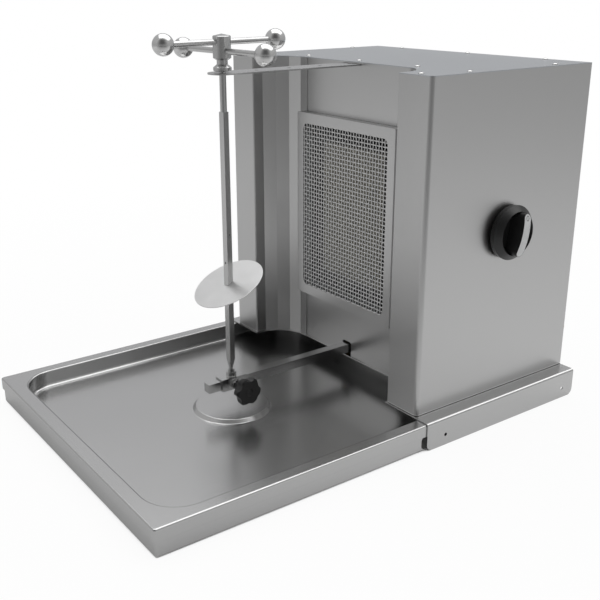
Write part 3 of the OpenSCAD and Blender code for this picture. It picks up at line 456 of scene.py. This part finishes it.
# Vertices this near are welded, faces this flat become one, and edges this sharp get a bevel
WELD_WITHIN = 0.01 * MM
FLAT_WITHIN = math.radians(0.5)
BEVEL_FROM = math.radians(40)
BEVEL_SEGMENTS = 2
# Edges sharper than these stay sharp, on the folded reflectors and on the other pieces
FACET_EDGE = math.radians(15)
SMOOTH_EDGE = math.radians(32)
# Over 50, large faces rule the normals along smooth edges
LARGE_FACE_WEIGHT = 80

for material, names in FINISH.items():
    for name in names:
        obj = nodes[name]
        mesh = obj.data
        mesh.materials.clear()
        mesh.materials.append(material)
        if "custom_normal" in mesh.attributes:
            mesh.attributes.remove(mesh.attributes["custom_normal"])
        mesh.polygons.foreach_set("use_smooth", [True] * len(mesh.polygons))
        weld = obj.modifiers.new("weld", "WELD")
        weld.merge_threshold = WELD_WITHIN
        if name in BEVEL:
            planar = obj.modifiers.new("planar", "DECIMATE")
            planar.decimate_type = "DISSOLVE"
            planar.angle_limit = FLAT_WITHIN
            bevel = obj.modifiers.new("bevel", "BEVEL")
            bevel.width = BEVEL[name] * MM
            bevel.segments = BEVEL_SEGMENTS
            bevel.limit_method = "ANGLE"
            bevel.angle_limit = BEVEL_FROM
            bevel.use_clamp_overlap = True


def smooth_by_angle(obj, angle):
    """Edges sharper than the angle stay sharp, after the piece's other modifiers."""
    group = bpy.data.node_groups.get("smooth_by_angle")
    if group is None:
        group = bpy.data.node_groups.new("smooth_by_angle", "GeometryNodeTree")
        group.is_modifier = True
        group.interface.new_socket("Geometry", in_out="INPUT", socket_type="NodeSocketGeometry")
        group.interface.new_socket("Angle", in_out="INPUT", socket_type="NodeSocketFloat")
        group.interface.new_socket("Geometry", in_out="OUTPUT", socket_type="NodeSocketGeometry")
        start = group.nodes.new("NodeGroupInput")
        end = group.nodes.new("NodeGroupOutput")
        edge = group.nodes.new("GeometryNodeInputMeshEdgeAngle")
        compare = group.nodes.new("FunctionNodeCompare")
        compare.operation = "LESS_THAN"
        shade = group.nodes.new("GeometryNodeSetShadeSmooth")
        shade.domain = "EDGE"
        group.links.new(edge.outputs["Unsigned Angle"], compare.inputs[0])
        group.links.new(start.outputs["Angle"], compare.inputs[1])
        group.links.new(start.outputs["Geometry"], shade.inputs["Geometry"])
        group.links.new(compare.outputs[0], shade.inputs["Shade Smooth"])
        group.links.new(shade.outputs["Geometry"], end.inputs["Geometry"])
    modifier = obj.modifiers.new("smooth", "NODES")
    modifier.node_group = group
    angle_socket = [s for s in group.interface.items_tree if s.name == "Angle"][0]
    modifier[angle_socket.identifier] = angle
    weighted = obj.modifiers.new("weighted", "WEIGHTED_NORMAL")
    weighted.keep_sharp = True
    weighted.weight = LARGE_FACE_WEIGHT


for name, obj in nodes.items():
    folded = name in ("right_reflector", "left_reflector")
    smooth_by_angle(obj, FACET_EDGE if folded else SMOOTH_EDGE)


# ---------------------------------------------------------------- woven guard mesh

WEAVE_PITCH = 6.3 * MM
WEAVE_STEPS = 4
WIRE_R = 1.05 * MM
WIRE_SIDES = 6
# How far the wires bend to each side, in wire radii
WEAVE_LIFT = 0.55

mesh_low, mesh_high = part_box("burner_mesh")
mesh_mid = (mesh_low + mesh_high) / 2


def woven_wires():
    """Wires up and across, each passing over and under the others."""
    lift = WIRE_R * WEAVE_LIFT
    columns = int((mesh_high.x - mesh_low.x) / WEAVE_PITCH) - 1
    rows = int((mesh_high.z - mesh_low.z) / WEAVE_PITCH) - 1
    parts = []
    for across in (True, False):
        lines, crossings = (rows, columns) if across else (columns, rows)
        for i in range(lines):
            fixed = (i - (lines - 1) / 2) * WEAVE_PITCH
            points = []
            for k in range(-1, crossings * WEAVE_STEPS // 2 + 1):
                run = 2 * k / WEAVE_STEPS
                move = (run - (crossings - 1) / 2) * WEAVE_PITCH
                side = math.cos(math.pi * (run + i + (1 if across else 0))) * lift
                depth = mesh_mid.y + side
                if across:
                    points.append(Vector((mesh_mid.x + move, depth, mesh_mid.z + fixed)))
                else:
                    points.append(Vector((mesh_mid.x + fixed, depth, mesh_mid.z + move)))
            parts.append(tube_along(points, WIRE_R, WIRE_SIDES))
    return join_parts(parts)


weave = add_mesh("guard_weave", *woven_wires(), "chassis", wire_steel, "bright_steel")
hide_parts("burner_mesh")


# ---------------------------------------------------------------- knob's printed 0

# How far the insert is turned, the mark's place along it, half sizes and stroke, and how far the
# ink stands over the insert's face and reaches under it
INSERT_TURN = math.radians(12)
MARK_UP = 24 * MM
MARK_HALF = (2.3 * MM, 3.3 * MM)
MARK_STROKE = 1.0 * MM
MARK_PROUD = 0.04 * MM
MARK_DEPTH = 0.2 * MM
MARK_STEPS = 48


def knob_mark():
    """A printed 0 near the upper end of the knob's light insert."""
    insert = nodes["knob_insert"].data
    tree = BVHTree.FromPolygons(
        [v.co for v in insert.vertices], [tuple(p.vertices) for p in insert.polygons]
    )
    centre = node_mid("knob_insert")
    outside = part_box("knob_insert")[1].x + MARK_STROKE
    lift = Vector((0, math.sin(INSERT_TURN), math.cos(INSERT_TURN)))
    side = Vector((0, math.cos(INSERT_TURN), -math.sin(INSERT_TURN)))
    verts, faces = [], []
    for k in range(MARK_STEPS):
        a = 2 * math.pi * k / MARK_STEPS
        for grow in (MARK_STROKE / 2, -MARK_STROKE / 2):
            spot = centre + (MARK_UP + math.sin(a) * (MARK_HALF[1] + grow)) * lift
            spot += math.cos(a) * (MARK_HALF[0] + grow) * side
            spot.x = outside
            face = tree.ray_cast(spot, Vector((-1, 0, 0)))[0]
            verts.append(face + Vector((MARK_PROUD, 0, 0)))
            verts.append(face - Vector((MARK_DEPTH, 0, 0)))
    for k in range(MARK_STEPS):
        here, there = 4 * k, 4 * ((k + 1) % MARK_STEPS)
        for one, two in ((0, 2), (2, 3), (3, 1), (1, 0)):
            faces.append((here + one, there + one, there + two, here + two))
    add_mesh("knob_mark", verts, faces, "knob", mark_ink, "black_plastic", smooth=False)


knob_mark()


# ---------------------------------------------------------------- star knob's cap

# The radii of the cap's rings, and their heights over the knob's face
CAP_RADII = (6.2 * MM, 6.0 * MM, 5.7 * MM, 2.0 * MM)
CAP_HEIGHTS = (-0.5 * MM, 0.15 * MM, 0.35 * MM, 0.45 * MM)
CAP_STEPS = 40


def star_cap():
    """The round cap pressed into the star knob's face."""
    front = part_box("star_knob")[1].x
    stud = node_mid("clamp_stud")
    verts = []
    for r, h in zip(CAP_RADII, CAP_HEIGHTS):
        for k in range(CAP_STEPS):
            a = 2 * math.pi * k / CAP_STEPS
            verts.append(Vector((front + h, stud.y + r * math.cos(a), stud.z + r * math.sin(a))))
    faces = ring_faces(len(CAP_RADII), CAP_STEPS)
    faces.append(tuple(range(len(verts) - CAP_STEPS, len(verts))))
    faces.append(tuple(reversed(range(CAP_STEPS))))
    add_mesh("star_cap", verts, faces, "clamp_screw", black_plastic, "black_plastic")


star_cap()


# ---------------------------------------------------------------- clamp stud's thread

# The thread's pitch and depth, and how far its crests stay under the stud's solid
THREAD_PITCH = 1.25 * MM
THREAD_DEPTH = 0.6 * MM
THREAD_PLAY = 0.03 * MM
THREAD_SIDES = 24
RINGS_PER_TURN = 6


def threaded_stud():
    """The clamp stud with its thread cut along the whole length."""
    low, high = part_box("clamp_stud")
    mid = (low + high) / 2
    major = (high.z - low.z) / 2 - THREAD_PLAY
    rings = int((high.x - low.x) / THREAD_PITCH * RINGS_PER_TURN)
    verts = []
    for i in range(rings + 1):
        x = low.x + (high.x - low.x) * i / rings
        end = min(i, rings - i) / RINGS_PER_TURN
        for k in range(THREAD_SIDES):
            turn = ((x - low.x) / THREAD_PITCH + k / THREAD_SIDES) % 1.0
            cut = THREAD_DEPTH * abs(2 * turn - 1)
            r = major - max(cut, THREAD_DEPTH * max(0.0, 1 - end))
            a = 2 * math.pi * k / THREAD_SIDES
            verts.append(Vector((x, mid.y + r * math.cos(a), mid.z + r * math.sin(a))))
    faces = ring_faces(rings + 1, THREAD_SIDES)
    faces.append(tuple(reversed(range(THREAD_SIDES))))
    faces.append(tuple(range(len(verts) - THREAD_SIDES, len(verts))))
    stud = add_mesh("stud_thread", verts, faces, "clamp_screw", turned_steel, "bright_steel")
    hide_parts("clamp_stud")


threaded_stud()


# ---------------------------------------------------------------- weld beads

NUT_FLATS = 13 * MM
BEAD_R = 0.7 * MM
BEAD_SIDES = 6
BEAD_STEPS = 72
# The bead's lumps round the nut, and how far they stand out
BEAD_LUMPS = 24
BEAD_RIPPLE = 0.12 * MM


def weld_bead(name, centre, normal):
    """A lumpy bead round the foot of a nut that is welded to the carriage's sleeve."""
    side = normal.orthogonal().normalized()
    other = normal.cross(side)
    points = []
    for k in range(BEAD_STEPS):
        a = 2 * math.pi * k / BEAD_STEPS
        flat = math.cos(math.pi / 6) / math.cos((a + math.pi / 6) % (math.pi / 3) - math.pi / 6)
        ripple = BEAD_RIPPLE * math.sin(a * BEAD_LUMPS)
        r = NUT_FLATS / 2 / math.cos(math.pi / 6) * flat + ripple
        points.append(centre + r * (math.cos(a) * side + math.sin(a) * other))
    verts, faces = tube_along(points, BEAD_R, BEAD_SIDES, closed=True)
    add_mesh(name, verts, faces, "carriage", turned_steel, "bright_steel")


sleeve_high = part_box("bar_sleeve")[1]
cup_mid = node_mid("pivot_cup")
bar_mid = node_mid("support_bar")
weld_bead("pivot_nut_weld", Vector((cup_mid.x, cup_mid.y, sleeve_high.z)), Vector((0, 0, 1)))
weld_bead("clamp_nut_weld", Vector((sleeve_high.x, cup_mid.y, bar_mid.z)), Vector((1, 0, 0)))


# ---------------------------------------------------------------- floor, studio, camera

# Levels are radiance, where 1 is white. A pair holds a value at the start and at the end of a
# span. Floor spans are metres from the frame's middle, or cosines between bearings. The studio's
# directions are the camera's, along the floor
FLOOR_HALF = 6.0
STUDIO_RIGHT = (0.581, 0.814)
STUDIO_BACK = (-0.814, 0.581)
# How much of the floor glows instead of taking light, to the camera and to metal
CAMERA_SHARE = (0.94, 1.0)
CAMERA_SPAN = (0.6, 1.6)
METAL_SHARE = (0.6, 1.0)
METAL_SPAN = (0.6, 2.5)
# Its level to metal, the share of it that is lost in front, and the gains to its left and right
FLOOR_LEVEL = (0.72, 0.42)
FLOOR_SPAN = (0.3, 4.0)
GLOOM = (0.0, 0.66)
GLOOM_FACING = (0.40, 0.92)
GLOOM_SPAN = (0.25, 1.3)
LEFT_GAIN = (0.52, 1.12)
LEFT_SPAN = (0.3, 1.9)
RIGHT_GAIN = 1.03
# How near a piece has to be to close over the floor, and the glow that is left by how open it is
OPEN_REACH = 0.12
OPEN_SAMPLES = 8
OPEN_SHARE = (0.02, 1.0)
OPEN_SPAN = (0.20, 0.45)
# Nearer the middle than this, a floor point's bearing fades out
BEARING_FROM = 0.1


def open_share(n):
    """Near 0 where pieces close over the floor, so it doesn't glow there, and 1 in the open."""
    sky = n.new("ShaderNodeAmbientOcclusion", samples=OPEN_SAMPLES, Distance=OPEN_REACH)
    return n.spread(sky.outputs["AO"], *OPEN_SHARE, *OPEN_SPAN)


def make_floor():
    """A white floor that keeps the machine's shadow near it."""
    mesh = bpy.data.meshes.new("floor")
    corners = [(-1, -1), (1, -1), (1, 1), (-1, 1)]
    mesh.from_pydata([(x * FLOOR_HALF, y * FLOOR_HALF, 0) for x, y in corners], [], [(0, 1, 2, 3)])
    floor = bpy.data.objects.new("floor", mesh)
    scene.collection.objects.link(floor)
    n = Nodes("floor_paper")
    n.set(Base_Color=n.blend(n.noise(300.0), grey(0.84), grey(0.88)), Roughness=0.9)
    x, y, _ = n.axes()
    away = n.new_from(n.coords, "ShaderNodeVectorMath", operation="LENGTH")
    distance = away.outputs["Value"]

    def bearing(direction):
        """The cosine between a floor point's bearing and a direction."""
        reach = n.towards(x, y, direction)
        return n.maths("DIVIDE", reach, n.maths("MAXIMUM", distance, BEARING_FROM))

    facing = n.maths("MULTIPLY", bearing(STUDIO_BACK), -1.0)
    gloom = n.maths(
        "MULTIPLY",
        n.spread(facing, *GLOOM, *GLOOM_FACING),
        n.spread(distance, 0.0, 1.0, *GLOOM_SPAN),
    )
    left_loss = n.maths("SUBTRACT", n.spread(distance, *LEFT_GAIN, *LEFT_SPAN), RIGHT_GAIN)
    leftward = n.spread(bearing(STUDIO_RIGHT), 1.0, 0.0, -1.0, 1.0)
    side_gain = n.maths("MULTIPLY_ADD", left_loss, leftward, RIGHT_GAIN)
    sided = n.maths("MULTIPLY", n.spread(distance, *FLOOR_LEVEL, *FLOOR_SPAN), side_gain)
    metal_level = n.maths("MULTIPLY", sided, n.maths("SUBTRACT", 1.0, gloom))
    rays = n.new("ShaderNodeLightPath")
    glow = n.new("ShaderNodeEmission", Color=(1, 1, 1, 1))
    n.feed(glow.inputs["Strength"], n.blend_level(rays.outputs["Is Camera Ray"], metal_level, 1.0))
    camera_share = n.spread(distance, *CAMERA_SHARE, *CAMERA_SPAN)
    metal_share = n.spread(distance, *METAL_SHARE, *METAL_SPAN)
    share = n.maths(
        "MAXIMUM",
        n.maths("MULTIPLY", rays.outputs["Is Camera Ray"], camera_share),
        n.maths("MULTIPLY", rays.outputs["Is Glossy Ray"], metal_share),
    )
    mix = n.new_from(n.maths("MULTIPLY", share, open_share(n)), "ShaderNodeMixShader")
    n.link(n.shader.outputs[0], mix.inputs[1])
    n.link(glow.outputs[0], mix.inputs[2])
    n.link(mix.outputs[0], n.tree.nodes["Material Output"].inputs["Surface"])
    mesh.materials.append(n.material)


# The room's level straight down, at the horizon and overhead, by a ray's height from -1 to 1
GROUND_LEVEL = 0.60
GROUND_SPAN = (-0.5, 0.0)
HORIZON_LEVEL = 0.42
TOP_LEVEL = 0.50
TOP_SPAN = (0.0, 0.5)
# The softbox, in tangents from straight overhead along the studio's directions, where rays that
# point lower than the last value count as that high
SOFTBOX_LEVEL = 2.0
SOFTBOX_MID = (0.38, 0.43)
SOFTBOX_HALF = (0.90, 0.68)
SOFTBOX_EDGE = 0.03
LOWEST_RAY = 0.05
# The dark side behind the camera: how nearly a ray points at it, and its lower and upper ends
DARK_LEVEL = 0.10
DARK_FACING = (0.50, 0.97)
DARK_LOW = (-0.20, 0.25)
DARK_HIGH = (0.80, 0.97)
# The room's tint, the far side's and the far side's low down, and the far side's spans
ROOM_TINT = (1.0, 1.0, 0.995)
FAR_TINT = (1.09, 1.095, 1.11)
FAR_LOW_TINT = (0.98, 0.98, 1.0)
FAR_FACING = (0.3, 0.95)
FAR_HIGH = (0.45, 0.9)
FAR_LOW = (0.22, 0.42)


def make_world():
    """A grey studio with a large softbox overhead; the camera itself sees white."""
    world = bpy.data.worlds.new("studio")
    scene.world = world
    world.use_nodes = True
    n = Tree(world.node_tree, "Generated")
    x, y, z = n.axes()
    rightwards = n.towards(x, y, STUDIO_RIGHT)
    backwards = n.towards(x, y, STUDIO_BACK)

    height = n.maths("MAXIMUM", z, LOWEST_RAY)
    sides = [
        n.band(n.maths("DIVIDE", reach, height), mid, half - SOFTBOX_EDGE, half + SOFTBOX_EDGE)
        for reach, mid, half in zip((rightwards, backwards), SOFTBOX_MID, SOFTBOX_HALF)
    ]
    box = n.maths("MULTIPLY", *sides)

    square = n.maths("SUBTRACT", 1.0, n.maths("MULTIPLY", z, z))
    flat = n.maths("SQRT", n.maths("MAXIMUM", square, 1e-4))
    facing = n.maths("DIVIDE", n.maths("MULTIPLY", backwards, -1.0), flat)
    dark = n.spread(facing, 0.0, 1.0, *DARK_FACING)
    dark = n.maths("MULTIPLY", dark, n.spread(z, 0.0, 1.0, *DARK_LOW))
    dark = n.maths("MULTIPLY", dark, n.spread(z, 1.0, 0.0, *DARK_HIGH))

    low = n.spread(z, GROUND_LEVEL, HORIZON_LEVEL, *GROUND_SPAN)
    high = n.spread(z, 0.0, TOP_LEVEL - HORIZON_LEVEL, *TOP_SPAN)
    shade = n.blend_level(dark, n.maths("ADD", low, high), DARK_LEVEL)
    level = n.blend_level(box, shade, SOFTBOX_LEVEL)

    far = n.maths(
        "MULTIPLY",
        n.spread(backwards, 0.0, 1.0, *FAR_FACING),
        n.spread(z, 1.0, 0.0, *FAR_HIGH),
    )
    far_tint = n.blend(n.spread(z, 1.0, 0.0, *FAR_LOW), FAR_TINT, FAR_LOW_TINT)
    tint = n.blend(far, ROOM_TINT, far_tint)
    colour = n.new_from(tint, "ShaderNodeVectorMath", operation="SCALE")
    n.link(level, colour.inputs["Scale"])
    rays = n.new("ShaderNodeLightPath")
    seen = n.blend(rays.outputs["Is Camera Ray"], colour.outputs[0], (1.0, 1.0, 1.0))
    back = n.tree.nodes["Background"]
    n.link(seen, back.inputs["Color"])
    back.inputs["Strength"].default_value = 1.0


# The photograph's camera: its place in metres, the direction that it stands in and its roll in
# degrees, and its lens
CAMERA_PLACE = (1.02201, -0.74524, 0.61315)
CAMERA_AZIMUTH = 54.454
CAMERA_HEIGHT = 19.575
CAMERA_ROLL = -0.337
CAMERA_LENS = 53.10
CAMERA_SHIFT = (0.02396, -0.0043)
SENSOR_WIDTH = 36.0


def make_camera():
    """The photograph's camera, found from the machine's own lines."""
    azimuth, height, roll = map(math.radians, (CAMERA_AZIMUTH, CAMERA_HEIGHT, CAMERA_ROLL))
    back = Vector((
        math.sin(azimuth) * math.cos(height),
        -math.cos(azimuth) * math.cos(height),
        math.sin(height),
    ))
    right = (-back).cross(Vector((0, 0, 1))).normalized()
    up = right.cross(-back)
    turned_right = math.cos(roll) * right + math.sin(roll) * up
    turned_up = -math.sin(roll) * right + math.cos(roll) * up
    data = bpy.data.cameras.new("camera")
    data.sensor_width = SENSOR_WIDTH
    data.lens = CAMERA_LENS
    data.shift_x, data.shift_y = CAMERA_SHIFT
    data.clip_start = 0.01
    camera = bpy.data.objects.new("camera", data)
    scene.collection.objects.link(camera)
    rotation = Matrix((turned_right, turned_up, back)).transposed().to_4x4()
    camera.matrix_world = Matrix.Translation(CAMERA_PLACE) @ rotation
    scene.camera = camera


make_floor()
make_world()
make_camera()
scene.view_settings.view_transform = "Standard"
